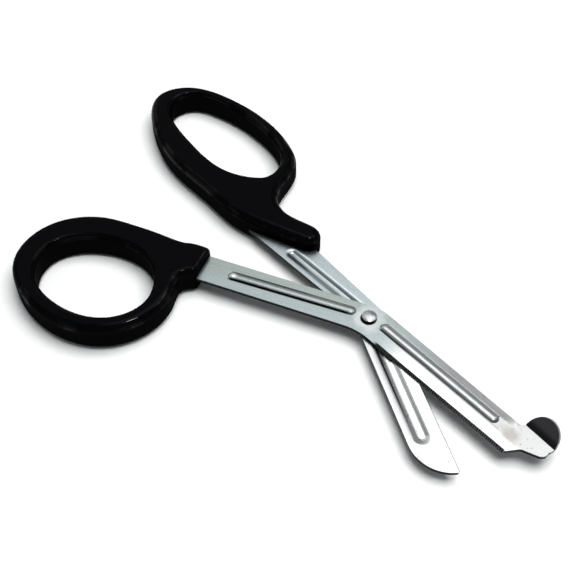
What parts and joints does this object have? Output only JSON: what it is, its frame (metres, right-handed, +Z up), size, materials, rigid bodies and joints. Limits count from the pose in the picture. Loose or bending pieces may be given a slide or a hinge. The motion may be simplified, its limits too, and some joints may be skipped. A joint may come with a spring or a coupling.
{
  "type": "bandage scissors",
  "caption": "Angled stainless bandage scissors with a serrated blade ending in a blunt folded foot, a plain blade, a riveted pivot and black moulded finger rings.",
  "frame": {"origin": "on the table under the middle of the open scissors as they lie", "axes": "+X along the serrated blade towards its tip, +Z up from the table"},
  "size_m": [0.1925, 0.1107, 0.0106],
  "materials": {
    "blade_steel": "satin",
    "rivet_steel": "polished",
    "black_plastic": "gloss"
  },
  "bodies": {
    "upper_half": {"serrated_blade": "blade_steel", "thumb_handle": "black_plastic", "rivet": "rivet_steel"},
    "lower_half": {"plain_blade": "blade_steel", "finger_handle": "black_plastic"}
  },
  "joints": [
    {"name": "pivot", "type": "hinge", "parent": "upper_half", "child": "lower_half", "pos_m": [0.0293, 0.0206, 0.0048], "axis": [0, 0, 1], "range_deg": [-124, 16]}
  ]
}
